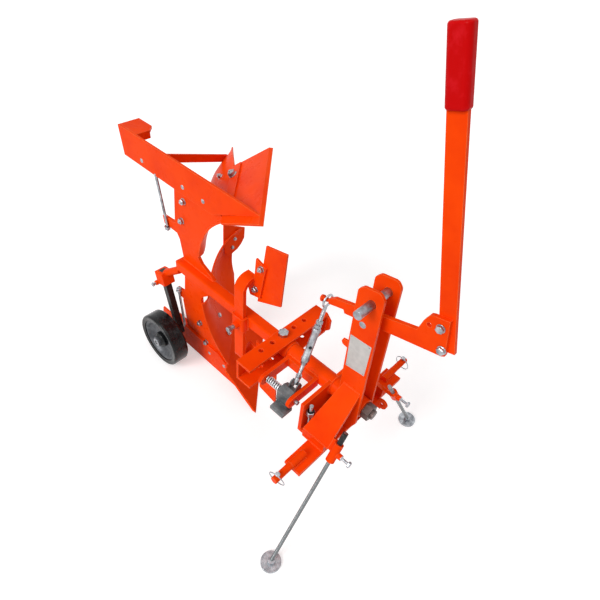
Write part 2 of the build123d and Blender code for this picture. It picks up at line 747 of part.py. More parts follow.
sock_a = axle_mid + up * socket_at
sock_b = sock_a + up * socket_h
out_w = stem_w + 2 * socket_gap + 2 * socket_wall
bore_w = stem_w + 2 * socket_gap
socket = bar(sock_a, sock_b, out_w, out_w, (0, 1, 0))
arm_start = sock_a + up * (socket_h - wheel_arm_r)
arm_end = Vector(beam_back_x, (beam_y0 + beam_y1) / 2, (beam_z0 + beam_z1) / 2)
socket = socket + rod(arm_start, arm_end + Vector(30, 0, 0), wheel_arm_r)
socket = socket - block(beam_back_x, 0, beam_y0 - 30, beam_y1 + 30, beam_z0 - 30, beam_z1 + 30)
socket = socket + block(beam_back_x - 8, beam_back_x, beam_y0, beam_y1, beam_z0, beam_z1)
socket = socket - bar(sock_a - up * 200, sock_b + up * 200, bore_w, bore_w, (0, 1, 0))
save(socket, "wheel_arm")

wheel_y1 = wheel_y0 + wheel_w
rim_r = wheel_r - tread_t
rim = rod((wheel_x, wheel_y0 + rim_inset, wheel_r), (wheel_x, wheel_y1 - rim_inset, wheel_r), rim_r)
bowl_end = (wheel_x, wheel_y0 + rim_inset + bowl_depth, wheel_r)
bowl = rod((wheel_x, wheel_y0, wheel_r), bowl_end, rim_r - bowl_wall)
rim = rim - bowl
rim = rim + rod((wheel_x, wheel_y0 - hub_out, wheel_r), (wheel_x, wheel_y1 + 20, wheel_r), hub_r)
rim = rim - rod((wheel_x, -400, wheel_r), (wheel_x, 400, wheel_r), axle_r + slip)
save(rim, "wheel_rim")
tyre = rod((wheel_x, wheel_y0, wheel_r), (wheel_x, wheel_y1, wheel_r), wheel_r)
tyre = tyre - rod((wheel_x, -400, wheel_r), (wheel_x, 400, wheel_r), rim_r)
save(tyre, "wheel_tyre")

# ---------------------------------------------------------------- skimmers
strap_x1 = strap_x0 + strap_w
strap_y1 = strap_y0 + strap_t
pocket_y0 = strap_y0 - pocket_wall
pocket = block(strap_x0 - pocket_wall, strap_x1 + pocket_wall, pocket_y0, beam_y0, pocket_z0, beam_z1)
outer_edges = pocket.edges().filter_by(Axis.Z).sort_by(Axis.Y)[:2]
pocket = fillet(outer_edges, pocket_corner)
slot_y0 = strap_y0 - pocket_gap
slot = block(strap_x0 - pocket_gap, strap_x1 + pocket_gap, slot_y0, beam_y0 + 1, pocket_z0 - 10, beam_z1 + 10)
pocket = pocket - slot
save(pocket, "skimmer_clamp")

flat_z = hook_top_z - hook_bend_r
hook_hub = Vector(strap_x0, strap_y0 + hook_bend_r, flat_z)


def hook_arc(radius):
    """Quarter turn of the hook's bend, from its upright limb to its top."""
    a = hook_hub + Vector(0, -radius, 0)
    b = hook_hub + Vector(0, -radius * cos(radians(45)), radius * sin(radians(45)))
    c = hook_hub + Vector(0, 0, radius)
    return Edge.make_three_point_arc(a, b, c)


outer_arc = hook_arc(hook_bend_r)
inner_arc = hook_arc(hook_bend_r - strap_t)
tip_top = Vector(strap_x0, hook_end_y, hook_top_z)
tip_low = Vector(strap_x0, hook_end_y, hook_top_z - strap_t)
foot_out = Vector(strap_x0, strap_y0, axis_z - 1)
foot_in = Vector(strap_x0, strap_y1, axis_z - 1)
outline = Wire([
    Edge.make_line(foot_out, outer_arc @ 0),
    outer_arc,
    Edge.make_line(outer_arc @ 1, tip_top),
    Edge.make_line(tip_top, tip_low),
    Edge.make_line(tip_low, inner_arc @ 1),
    inner_arc,
    Edge.make_line(inner_arc @ 0, foot_in),
    Edge.make_line(foot_in, foot_out),
])
strap = Solid.extrude(Face(outline), Vector(strap_w, 0, 0))
arch_z = hook_top_z - strap_t
plate_pts = [(strap_x0 + 6, arch_z + 4), (strap_x0 + 14, 588), (-446, 560), (-402, 572)]
plate_pts += [(-380, 708), (-424, 722), (strap_x1, hook_top_z)]
strap = strap + plate_xz(plate_pts, -4, 4)
save(strap + turned(strap), "skimmer_shank")
blade = prism([(-391, 4, 785), (-306, 4, 803), (-316, 4, 590), (-419, 4, 542)], (0, skim_t, 0))
save(blade, "skimmer_blade_upper")
save(turned(blade), "skimmer_blade_lower")

# ---------------------------------------------------------------- export
low_x = min(piece.bounding_box().min.X for piece in pieces.values())
high_x = max(piece.bounding_box().max.X for piece in pieces.values())
x_shift = -(low_x + high_x) / 2
for name, piece in pieces.items():
    export_step(Pos(x_shift, 0, 0) * piece, "parts/" + name + ".step")
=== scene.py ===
import json
import math
import random
import bpy
import bmesh
from mathutils import Matrix, Vector


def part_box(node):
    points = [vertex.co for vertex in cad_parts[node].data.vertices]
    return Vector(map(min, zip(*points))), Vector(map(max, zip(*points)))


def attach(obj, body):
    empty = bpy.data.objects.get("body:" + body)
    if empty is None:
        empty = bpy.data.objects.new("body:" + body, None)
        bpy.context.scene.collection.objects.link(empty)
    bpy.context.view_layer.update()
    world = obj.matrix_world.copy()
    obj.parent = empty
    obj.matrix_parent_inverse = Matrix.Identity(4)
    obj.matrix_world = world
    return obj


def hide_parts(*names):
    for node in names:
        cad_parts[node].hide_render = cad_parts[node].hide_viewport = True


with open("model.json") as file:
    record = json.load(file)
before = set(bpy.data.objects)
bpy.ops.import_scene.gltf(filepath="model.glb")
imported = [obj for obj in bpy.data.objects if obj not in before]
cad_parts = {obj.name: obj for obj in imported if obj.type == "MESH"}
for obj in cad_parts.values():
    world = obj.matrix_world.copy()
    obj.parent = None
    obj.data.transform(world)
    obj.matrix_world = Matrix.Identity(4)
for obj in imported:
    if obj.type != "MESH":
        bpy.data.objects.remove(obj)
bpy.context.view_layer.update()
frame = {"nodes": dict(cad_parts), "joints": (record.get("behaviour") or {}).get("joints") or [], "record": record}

MM = 0.001
STEM_LEAN = math.radians(14)     # how far the depth wheel's leg leans back
mounts = {m["name"]: Vector(m["pos_m"]) for m in frame["record"]["mounts"]}
pins_x = mounts["lower_link_left"].x
axis_z = next(j for j in frame["joints"] if j["name"] == "turnover_hinge")["pos_m"][2]
rng = random.Random(7)


def at(x, y, z):
    """Point in metres from millimetres, with x counted from the lower link pins."""
    return Vector((x * MM + pins_x, y * MM, z * MM))


def x_of(x):
    """X in metres of a place given in millimetres from the lower link pins."""
    return at(x, 0, 0).x


def turned(point):
    """Same point of the upper body, mirrored about the turnover axis."""
    return Vector((point.x, point.y, 2 * axis_z - point.z))


# ---------------------------------------------------------------- materials
def node(tree, kind, **values):
    """One shader node with its input values set."""
    made = tree.nodes.new(kind)
    for key, value in values.items():
        made.inputs[key.replace("_", " ")].default_value = value
    return made


def start(name):
    """Empty material with a Principled shader."""
    mat = bpy.data.materials.new(name)
    mat.use_nodes = True
    tree = mat.node_tree
    tree.nodes.clear()
    out = tree.nodes.new("ShaderNodeOutputMaterial")
    shader = tree.nodes.new("ShaderNodeBsdfPrincipled")
    tree.links.new(shader.outputs["BSDF"], out.inputs["Surface"])
    coords = tree.nodes.new("ShaderNodeTexCoord")
    return mat, tree, shader, coords


def noise(tree, coords, scale, detail=3.0, stretch=None):
    """Noise in the object's metres, stretched along an axis if asked."""
    made = node(tree, "ShaderNodeTexNoise", Scale=scale, Detail=detail, Roughness=0.6)
    if stretch:
        mapping = tree.nodes.new("ShaderNodeMapping")
        mapping.inputs["Scale"].default_value = stretch
        tree.links.new(coords.outputs["Object"], mapping.inputs["Vector"])
        tree.links.new(mapping.outputs["Vector"], made.inputs["Vector"])
    else:
        tree.links.new(coords.outputs["Object"], made.inputs["Vector"])
    return made.outputs["Fac"]


def ramp(tree, source, stops):
    """Colour ramp through (position, colour) stops."""
    made = tree.nodes.new("ShaderNodeValToRGB")
    tree.links.new(source, made.inputs["Fac"])
    while len(made.color_ramp.elements) < len(stops):
        made.color_ramp.elements.new(0.5)
    for element, (position, colour) in zip(made.color_ramp.elements, stops):
        element.position = position
        element.color = (*colour, 1.0)
    return made.outputs["Color"]


def grey(value):
    """Colour with three equal parts."""
    return (value, value, value)


def mix(tree, fac, a, b):
    """Mix of two colours, each a socket or a plain colour."""
    made = tree.nodes.new("ShaderNodeMix")
    made.data_type = "RGBA"
    if isinstance(fac, float):
        made.inputs[0].default_value = fac
    else:
        tree.links.new(fac, made.inputs[0])
    for socket, value in ((made.inputs[6], a), (made.inputs[7], b)):
        if isinstance(value, tuple):
            socket.default_value = (*value, 1.0)
        else:
            tree.links.new(value, socket)
    return made.outputs[2]


def edge_mask(tree, radius, low, high):
    """White along sharp edges, where a bevelled normal leans away from the true one."""
    bevel = tree.nodes.new("ShaderNodeBevel")
    bevel.samples = 4
    bevel.inputs["Radius"].default_value = radius
    geometry = tree.nodes.new("ShaderNodeNewGeometry")
    dot = tree.nodes.new("ShaderNodeVectorMath")
    dot.operation = "DOT_PRODUCT"
    tree.links.new(bevel.outputs["Normal"], dot.inputs[0])
    tree.links.new(geometry.outputs["Normal"], dot.inputs[1])
    spread = tree.nodes.new("ShaderNodeMapRange")
    spread.inputs["From Min"].default_value = high
    spread.inputs["From Max"].default_value = low
    tree.links.new(dot.outputs["Value"], spread.inputs["Value"])
    return spread.outputs["Result"]


def bump(tree, shader, height, strength, distance, bevel_radius=0.0):
    """Surface relief, over softened edges where a radius is given."""
    made = tree.nodes.new("ShaderNodeBump")
    made.inputs["Strength"].default_value = strength
    made.inputs["Distance"].default_value = distance
    tree.links.new(height, made.inputs["Height"])
    if bevel_radius:
        bevel = tree.nodes.new("ShaderNodeBevel")
        bevel.samples = 4
        bevel.inputs["Radius"].default_value = bevel_radius
        tree.links.new(bevel.outputs["Normal"], made.inputs["Normal"])
    tree.links.new(made.outputs["Normal"], shader.inputs["Normal"])


def roughen(tree, shader, source, low, high):
    """Roughness between two values, following a noise."""
    tree.links.new(ramp(tree, source, [(0.3, grey(low)), (0.7, grey(high))]), shader.inputs["Roughness"])


def paint(name, base, deep, edge_highlight):
    """Glossy enamel: cloudy colour, sharp edges paled by a painted highlight, orange-peel relief."""
    mat, tree, shader, coords = start(name)
    clouds = noise(tree, coords, 6.0, 4.0)
    colour = ramp(tree, clouds, [(0.30, deep), (0.55, base), (0.80, base)])
    specks = ramp(tree, noise(tree, coords, 160.0, 2.0), [(0.70, grey(0.0)), (0.78, grey(1.0))])
    colour = mix(tree, ramp(tree, specks, [(0.0, grey(0.0)), (1.0, grey(0.25))]), colour, deep)
    # sharp edges are lightened towards the last colour: a painted highlight along the edges
    edges = edge_mask(tree, 0.0022, 0.78, 0.99)
    colour = mix(tree, edges, colour, edge_highlight)
    tree.links.new(colour, shader.inputs["Base Color"])
    roughen(tree, shader, noise(tree, coords, 22.0, 3.0), 0.24, 0.38)
    shader.inputs["Specular IOR Level"].default_value = 0.03
    bump(tree, shader, noise(tree, coords, 420.0, 2.0), 0.10, 0.0006, 0.0012)
    return mat


def metal(name, bright, dull, rough_low, rough_high, stretch=None, relief=0.12, metallic=1.0):
    """Bare or plated steel with cloudy tone, fine brushing and handling marks."""
    mat, tree, shader, coords = start(name)
    tone = ramp(tree, noise(tree, coords, 45.0, 5.0), [(0.35, dull), (0.65, bright)])
    edges = edge_mask(tree, 0.0010, 0.80, 0.99)
    worn = tuple(min(1.0, 1.25 * c) for c in bright)
    tree.links.new(mix(tree, edges, tone, worn), shader.inputs["Base Color"])
    shader.inputs["Metallic"].default_value = metallic
    fine = noise(tree, coords, 260.0, 4.0, stretch)
    roughen(tree, shader, fine, rough_low, rough_high)
    bump(tree, shader, fine, relief, 0.0008, 0.0009)
    return mat


def threaded(name, bright, dull, pitch, direction):
    """Zinc plated thread: fine ridges across the rod's direction, crests coloured lighter as painted highlight and
    roots darker as painted shade.
    """
    mat, tree, shader, coords = start(name)
    along = tree.nodes.new("ShaderNodeVectorMath")
    along.operation = "DOT_PRODUCT"
    along.inputs[1].default_value = direction
    tree.links.new(coords.outputs["Object"], along.inputs[0])
    turn = tree.nodes.new("ShaderNodeMath")
    turn.operation = "MULTIPLY"
    turn.inputs[1].default_value = 2 * math.pi / pitch
    tree.links.new(along.outputs["Value"], turn.inputs[0])
    wave = tree.nodes.new("ShaderNodeMath")
    wave.operation = "SINE"
    tree.links.new(turn.outputs[0], wave.inputs[0])
    shape = tree.nodes.new("ShaderNodeMapRange")
    shape.inputs["From Min"].default_value = -1.0
    tree.links.new(wave.outputs[0], shape.inputs["Value"])
    # crests take the bright colour, a painted highlight; roots take the dull colour, painted shade
    tone = ramp(tree, shape.outputs["Result"], [(0.15, dull), (0.75, bright)])
    blotch = ramp(tree, noise(tree, coords, 60.0, 4.0), [(0.3, grey(0.0)), (0.8, grey(0.35))])
    tree.links.new(mix(tree, blotch, tone, dull), shader.inputs["Base Color"])
    shader.inputs["Metallic"].default_value = 0.9
    roughen(tree, shader, noise(tree, coords, 200.0), 0.28, 0.45)
    bump(tree, shader, shape.outputs["Result"], 0.8, 0.0006)
    return mat


def rubber(name, base, worn, rough_low, rough_high, scale, relief, gloss=0.25):
    """Rubber or vinyl: even colour with dusty scuffs and a fine grain."""
    mat, tree, shader, coords = start(name)
    scuffs = ramp(tree, noise(tree, coords, scale, 6.0), [(0.52, grey(0.0)), (0.74, grey(0.6))])
    colour = mix(tree, scuffs, base, worn)
    tree.links.new(colour, shader.inputs["Base Color"])
    roughen(tree, shader, noise(tree, coords, 30.0, 4.0), rough_low, rough_high)
    shader.inputs["Specular IOR Level"].default_value = gloss
    bump(tree, shader, noise(tree, coords, 520.0, 3.0), relief, 0.0007)
    return mat


ORANGE = (0.94, 0.062, 0.0015)
looks = {
    # the enamel's last colour is the painted highlight laid along its sharp edges
    "orange_paint": paint("orange_enamel", ORANGE, (0.84, 0.042, 0.0012), (1.0, 0.23, 0.07)),
    "zinc": metal("zinc_plate", (0.54, 0.56, 0.59), (0.22, 0.23, 0.25), 0.22, 0.42),
    "bare_steel": metal("turned_steel", (0.42, 0.45, 0.49), (0.19, 0.19, 0.20), 0.25, 0.42, (1.0, 12.0, 1.0)),
    "cast_latch": metal("cast_steel", (0.19, 0.20, 0.205), (0.10, 0.105, 0.11), 0.38, 0.60, None, 0.5, 0.8),
    "dark_steel": metal("oiled_steel", (0.15, 0.105, 0.095), (0.075, 0.055, 0.050),
                        0.30, 0.50, None, 0.3, 0.8),
    "red_grip": rubber("red_vinyl", (0.56, 0.0010, 0.0015), (0.70, 0.012, 0.020),
                       0.30, 0.45, 40.0, 0.25, 0.06),
    "black_rubber": rubber("black_tread", (0.0045, 0.005, 0.0055), (0.045, 0.050, 0.052),
                           0.14, 0.34, 60.0, 0.30),
    "grey_rim": metal("grey_disc", (0.115, 0.120, 0.130), (0.045, 0.048, 0.055), 0.35, 0.55, None, 0.3, 0.5),
    "black_steel": rubber("black_enamel", (0.012, 0.012, 0.012), (0.06, 0.06, 0.06), 0.25, 0.45, 70.0, 0.3),
    "black_plastic": rubber("black_sleeve", (0.016, 0.016, 0.017), (0.08, 0.08, 0.08), 0.30, 0.50, 90.0, 0.2),
}
slots = {part["node"]: part["material_slot"] for part in frame["record"]["subparts"]}


def dress(obj, material):
    """Puts one material on every slot of an object."""
    obj.data.materials.clear()
    obj.data.materials.append(material)


for name, obj in frame["nodes"].items():
    dress(obj, looks[slots[name]])

# crest colour is a painted highlight; root colour is painted shade that also tints the random dull blotches
THREAD_CREST_HIGHLIGHT = (0.36, 0.38, 0.39)
THREAD_ROOT_SHADE_AND_DULL_BLOTCH = (0.075, 0.080, 0.080)
THREAD_PITCH = 0.0022
rod_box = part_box("stand_rod_left")
rod_left = Vector((0.0, rod_box[0].y - rod_box[1].y, rod_box[1].z - rod_box[0].z)).normalized()
rod_right = (0.0, -rod_left.y, rod_left.z)
for tag, direction in (("left", rod_left), ("right", rod_right)):
    thread_look = threaded(f"thread_{tag}", THREAD_CREST_HIGHLIGHT, THREAD_ROOT_SHADE_AND_DULL_BLOTCH, THREAD_PITCH, direction)
    dress(frame["nodes"][f"stand_rod_{tag}"], thread_look)
spring_steel = metal("spring_steel", (0.80, 0.81, 0.82), (0.46, 0.46, 0.47), 0.20, 0.38)
dress(frame["nodes"]["latch_spring"], spring_steel)


# ---------------------------------------------------------------- mesh helpers
def piece(name, bm, body, slot, material=None, edge=0.0):
    """Turns a bmesh into a piece that rides on a body and takes a slot's finish."""
    bmesh.ops.recalc_face_normals(bm, faces=bm.faces)
    mesh = bpy.data.meshes.new(name)
    bm.to_mesh(mesh)
    bm.free()
    obj = bpy.data.objects.new(name, mesh)
    bpy.context.scene.collection.objects.link(obj)
    if edge:
        softened = obj.modifiers.new("edge", "BEVEL")
        softened.width = edge
        softened.segments = 2
        softened.limit_method = "ANGLE"
        softened.angle_limit = math.radians(35)
    for face in mesh.polygons:
        face.use_smooth = True
    mesh.set_sharp_from_angle(angle=math.radians(38))
    dress(obj, material or looks[slot])
    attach(obj, body)
    return obj


def axes(direction):
    """Two directions square to one direction."""
    w = Vector(direction).normalized()
    helper = Vector((0, 0, 1)) if abs(w.z) < 0.9 else Vector((1, 0, 0))
    u = helper.cross(w).normalized()
    return u, w.cross(u), w


def bridge(bm, low, high, shift=0):
    """Band of quads between two rings of vertices."""
    count = len(low)
    for k in range(count):
        j = (k + 1) % count
        bm.faces.new((low[k], low[j], high[(j + shift) % count], high[(k + shift) % count]))


def cap_ends(bm, rings):
    """Closes the first and the last of a row of rings."""
    bm.faces.new(list(reversed(rings[0])))
    bm.faces.new(rings[-1])


def thread(radius, depth, start, turns, pitch=1.0):
    """Profile of a thread for revolve: crests and roots by turns."""
    return [(radius - depth * (k % 2), start + k * pitch) for k in range(turns)]


def revolve(bm, origin, direction, profile, sides=32, phase=0.0, closed=False):
    """Surface of revolution through (radius, along) pairs in millimetres, capped or closed on itself."""
    u, v, w = axes(direction)
    rings = []
    for radius, along in profile:
        ring = []
        for k in range(sides):
            a = phase + 2 * math.pi * k / sides
            around = (u * math.cos(a) + v * math.sin(a)) * radius * MM
            ring.append(bm.verts.new(origin + w * along * MM + around))
        rings.append(ring)
    pairs = list(zip(rings, rings[1:]))
    if closed:
        pairs.append((rings[-1], rings[0]))
    for low, high in pairs:
        bridge(bm, low, high)
    if not closed:
        cap_ends(bm, rings)


def add_hex(bm, origin, direction, flats, low, high, phase=0.0):
    """Hexagon head or nut with a turned chamfer on its outer face."""
    corner = flats / math.sqrt(3)
    step = min(1.6, 0.22 * (high - low))
    revolve(bm, origin, direction, [(corner, low), (corner, high - step), (flats * 0.47, high)], 6, phase)


def add_washer(bm, origin, direction, radius, low, high):
    """Flat washer with a broken outer edge."""
    revolve(bm, origin, direction, [(radius, low), (radius, high - 0.3), (radius - 0.4, high)], 28)


def bolt(name, point, direction, flats, body, stud=0.0):
    """Hex bolt head, or a nut on its stud, with a washer under it."""
    bm = bmesh.new()
    add_washer(bm, point, direction, flats * 0.62, -0.2, flats * 0.12)
    low = flats * 0.12 - 0.1
    high = low + flats * 0.42 + (flats * 0.12 if stud else 0.0)
    add_hex(bm, point, direction, flats, low, high, rng.random())
    if stud:
        revolve(bm, point, direction, thread(flats * 0.25, 0.35, high - 0.3, int(stud / 0.8), 0.8), 16)
    return piece(name, bm, body, "zinc", edge=0.0003)


def plough_bolt(name, point, direction, radius, body):
    """Flush plough bolt head: shallow dome with a ring groove."""
    bm = bmesh.new()
    profile = [(radius, -0.4), (radius, 0.6), (radius * 0.82, 1.5)]
    profile += [(radius * 0.72, 1.2), (radius * 0.66, 1.7), (radius * 0.3, 2.2)]
    revolve(bm, point, direction, profile, 28)
    return piece(name, bm, body, "zinc")


def sweep(bm, points, radius, sides=8, cyclic=False, radii=None):
    """Round wire through points."""
    count = len(points)
    rings = []
    for i, point in enumerate(points):
        before = points[(i - 1) % count] if cyclic or i else points[i]
        after = points[(i + 1) % count] if cyclic or i < count - 1 else points[i]
        u, v, w = axes(after - before)
        if rings:
            u = (last - w * last.dot(w)).normalized()
            v = w.cross(u)
        last = u
        r = (radii[i] if radii else radius) * MM
        ring = []
        for k in range(sides):
            a = 2 * math.pi * k / sides
            ring.append(bm.verts.new(point + (u * math.cos(a) + v * math.sin(a)) * r))
        rings.append(ring)
    for low, high in zip(rings, rings[1:]):
        bridge(bm, low, high)
    if cyclic:
        low, high = rings[-1], rings[0]
        near = min(range(sides), key=lambda s: (low[0].co - high[s].co).length)
        bridge(bm, low, high, near)
    else:
        cap_ends(bm, rings)


def weld(name, points, radius, body):
    """Rippled fillet weld along a line, sunk half into the corner it fills."""
    path, radii = [], []
    for a, b in zip(points, points[1:]):
        steps = max(2, int((b - a).length / (0.9 * MM)))
        for k in range(steps):
            wave = 0.5 + 0.5 * math.sin(2 * math.pi * len(path) / 4.0)
            path.append(a.lerp(b, k / steps))
            radii.append(radius * (0.80 + 0.18 * wave + 0.10 * rng.random()))
    bm = bmesh.new()
    sweep(bm, path, radius, 8, radii=radii)
    return piece(name, bm, body, "orange_paint")


def circle(centre, direction, radius, count):
    """Points round a circle in millimetres of radius."""
    u, v, _ = axes(direction)
    angles = [2 * math.pi * k / count for k in range(count)]
    return [centre + (u * math.cos(a) + v * math.sin(a)) * radius * MM for a in angles]


def plate(bm, points, offset):
    """Flat plate from a polygon pushed by an offset."""
    low = [bm.verts.new(p) for p in points]
    high = [bm.verts.new(p + offset) for p in points]
    cap_ends(bm, [low, high])
    bridge(bm, low, high)


# ---------------------------------------------------------------- depth wheel
tyre_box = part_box("wheel_tyre")
wheel_mid = (tyre_box[0] + tyre_box[1]) / 2
tyre_r = (tyre_box[1].z - tyre_box[0].z) / 2 / MM
tyre_w = (tyre_box[1].y - tyre_box[0].y) / MM
TYRE_DEPTH = 22.0                # tread to rim
rim_r = tyre_r - TYRE_DEPTH
outer_face = Vector((wheel_mid.x, tyre_box[0].y, wheel_mid.z))
inward = Vector((0, 1, 0))
bm = bmesh.new()
tread = [(rim_r, 3.0), (tyre_r - 12, 1.2), (tyre_r - 8.5, 0.0), (tyre_r - 4.0, 1.0), (tyre_r - 1.2, 4.5)]
for k in range(12):
    tread.append((tyre_r - (0.0 if k % 2 else 0.35), 7.5 + k * (tyre_w - 15.0) / 11))
tread += [(tyre_r - 1.2, tyre_w - 4.5), (tyre_r - 4.0, tyre_w - 1.0), (tyre_r - 8.5, tyre_w)]
tread += [(tyre_r - 12, tyre_w - 1.2), (rim_r, tyre_w - 3.0)]
revolve(bm, outer_face, inward, tread, 96, closed=True)
tyre = piece("tyre_moulded", bm, "wheel", "black_rubber")
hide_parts("wheel_tyre")

rim_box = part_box("wheel_rim")
hub_out = (rim_box[0].y - tyre_box[0].y) / MM
hub_in = (rim_box[1].y - tyre_box[0].y) / MM
bm = bmesh.new()
disc = [(10.2, hub_out), (20.0, hub_out), (22.0, hub_out + 2), (22.0, 20.0), (26.0, 24.5), (40.0, 25.5)]
disc += [(62.0, 24.0), (72.0, 20.0), (78.0, 13.0), (81.0, 8.5), (84.5, 6.0), (89.0, 5.6)]
disc += [(rim_r + 0.6, 7.5), (rim_r + 0.6, tyre_w - 7.5), (86.0, tyre_w - 8.0), (80.0, tyre_w - 12.0)]
disc += [(70.0, tyre_w - 24.0), (30.0, tyre_w - 26.0), (22.0, tyre_w - 20.0)]
disc += [(22.0, hub_in - 2), (20.0, hub_in), (10.2, hub_in)]
revolve(bm, outer_face, inward, disc, 96, closed=True)
rim = piece("rim_turned", bm, "wheel", "grey_rim")
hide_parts("wheel_rim")

bm = bmesh.new()
boot = [(10.3, hub_out - 0.3), (31.0, hub_out + 15), (33.0, hub_out + 17), (33.0, 25.0), (10.3, 25.0)]
revolve(bm, outer_face, inward, boot, 48, closed=True)
piece("hub_boot", bm, "wheel", "black_rubber")
axle_tip = Vector((wheel_mid.x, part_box("wheel_stem")[0].y, wheel_mid.z))
bm = bmesh.new()
add_washer(bm, axle_tip, inward, 17.0, 1.0, 3.5)
add_hex(bm, axle_tip, inward, 22.0, 0.2, 1.4, 0.3)
piece("axle_nut", bm, "wheel_leg", "zinc")

# ---------------------------------------------------------------- bolts on the bodies
side_dir = Vector((0, -1, 0))
side_bolts = {"lower": ((-674, 70), (-583, 67), (-880, 62)), "upper": ((-987, 84), (-762, 80), (-659, 81))}
for tag, points in side_bolts.items():
    for k, (x, z) in enumerate(points):
        spot = at(x, -12, z)
        spot = spot if tag == "lower" else turned(spot)
        plough_bolt(f"side_bolt_{tag}_{k}", spot, side_dir, 8.0, "turnover")
leg_bolts = ((-698, 113, "lower"), (-731, 202, "lower"), (-774, 142, "upper"), (-793, 229, "upper"))
for k, (x, z, tag) in enumerate(leg_bolts):
    spot = at(x, -4, z)
    bolt(f"leg_bolt_{k}", spot if tag == "lower" else turned(spot), side_dir, 19.0, "turnover", stud=5.0)
# seats and square directions measured on the moldboards and shares
bolt("board_bolt_lower", at(-732.6, 90.3, 177.9), (0.559, 0.709, 0.43), 17.0, "turnover")
bolt("board_bolt_lower_b", at(-672.2, 89.9, 118.5), (0.488, 0.681, 0.546), 17.0, "turnover")
share_seat = at(-714.5, 159.3, 814.3)
bolt("share_nut_upper", share_seat, (-0.434, -0.396, 0.809), 24.0, "turnover", stud=6.0)
bolt("board_nut_upper", at(-796.4, 172.6, 764.9), (-0.542, -0.534, 0.649), 17.0, "turnover", stud=5.0)
bolt("share_nut_lower", turned(share_seat), (-0.434, -0.396, -0.809), 24.0, "turnover", stud=6.0)

# ---------------------------------------------------------------- tail pieces on the moldboards
tail = [(286, 441), (405, 372), (402, 319), (385, 294), (361, 275)]
tail += [(330, 265), (302, 264), (290, 285), (283, 336)]
for tag, flip in (("lower", False), ("upper", True)):
    corners = [at(-929, y, z) for y, z in tail]
    spots = [at(-922.5, 330, 300), at(-922.5, 345, 340)]
    bm = bmesh.new()
    plate(bm, [turned(c) if flip else c for c in corners], Vector((0.006, 0, 0)))
    piece(f"tail_piece_{tag}", bm, "turnover", "orange_paint", edge=0.0012)
    for k, spot in enumerate(spots):
        bolt(f"tail_bolt_{tag}_{k}", turned(spot) if flip else spot, (1, 0, 0), 13.0, "turnover")

# ---------------------------------------------------------------- tie rod nuts
for tag, x, z, body_turn in (("lower", -853, 300, False), ("upper", -880, 302, True)):
    spot = at(x, -9, z - 4)
    up = Vector((0, 0, 1))
    if body_turn:
        spot, up = turned(spot), Vector((0, 0, -1))
    bolt(f"tie_nut_{tag}", spot, up, 19.0, "turnover", stud=6.0)

# ---------------------------------------------------------------- skimmer clamp and hooks
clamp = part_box("skimmer_clamp")
clamp_mid = (clamp[0] + clamp[1]) / 2
SET_BOLT_Z = 0.452
set_from = Vector((clamp_mid.x, clamp[0].y, SET_BOLT_Z))
bm = bmesh.new()
revolve(bm, set_from, side_dir, [(13.0, -3.0), (13.0, 12.0), (11.5, 14.0)], 28)
piece("skimmer_set_boss", bm, "turnover", "orange_paint")
bm = bmesh.new()
revolve(bm, set_from, side_dir, thread(7.0, 0.4, 13.0, 18), 20)
add_hex(bm, set_from, side_dir, 19.0, 29.0, 41.0)
piece("skimmer_set_bolt", bm, "turnover", "zinc", edge=0.0003)
for tag, body_turn in (("upper", False), ("lower", True)):
    for k, (x, z) in enumerate(((-398, 698), (-421, 600))):
        spot = at(x, -4, z)
        spot = turned(spot) if body_turn else spot
        bolt(f"skim_bolt_{tag}_{k}", spot, side_dir, 17.0, "skimmers", stud=7.0)

# ---------------------------------------------------------------- wheel socket screw
screw_from = at(-919, -60.5, 325)
bm = bmesh.new()
revolve(bm, screw_from, side_dir, [(10.0, -3.0), (10.0, 7.0), (8.5, 8.5)], 24)
piece("socket_boss", bm, "turnover", "orange_paint")
bm = bmesh.new()
revolve(bm, screw_from, side_dir, thread(5.0, 0.35, 7.5, 12), 16)
add_hex(bm, screw_from, side_dir, 15.0, 16.0, 24.0)
piece("socket_screw", bm, "turnover", "zinc", edge=0.0003)
lean = Vector((-math.sin(STEM_LEAN), 0, math.cos(STEM_LEAN)))
stem_low = Vector((wheel_mid.x, -40 * MM, wheel_mid.z))
across = Vector((math.cos(STEM_LEAN), 0, math.sin(STEM_LEAN)))
corners = ((-1, -1), (1, -1), (1, 1), (-1, 1))
bm = bmesh.new()
loops = []
for half, height in ((24.5, 228), (24.5, 281), (23.5, 283), (14.5, 283), (14.5, 228)):
    spot = stem_low + lean * height * MM
    places = [spot + across * i * half * MM + Vector((0, j * half * MM, 0)) for i, j in corners]
    loops.append([bm.verts.new(place) for place in places])
for low, high in zip(loops, loops[1:] + loops[:1]):
    bridge(bm, low, high)
piece("socket_collar", bm, "turnover", "orange_paint", edge=0.0008)

# ---------------------------------------------------------------- lever bolts
bolt("lever_bolt_high", at(175.7, -6, 895), side_dir, 19.0, "lever")
bolt("lever_bolt_low", at(196.0, -6, 839), side_dir, 19.0, "lever")
bolt("lever_nut_high", at(175.7, 16, 895), -side_dir, 19.0, "lever", stud=7.0)
bolt("lever_nut_low", at(196.0, 16, 839), -side_dir, 19.0, "lever", stud=7.0)

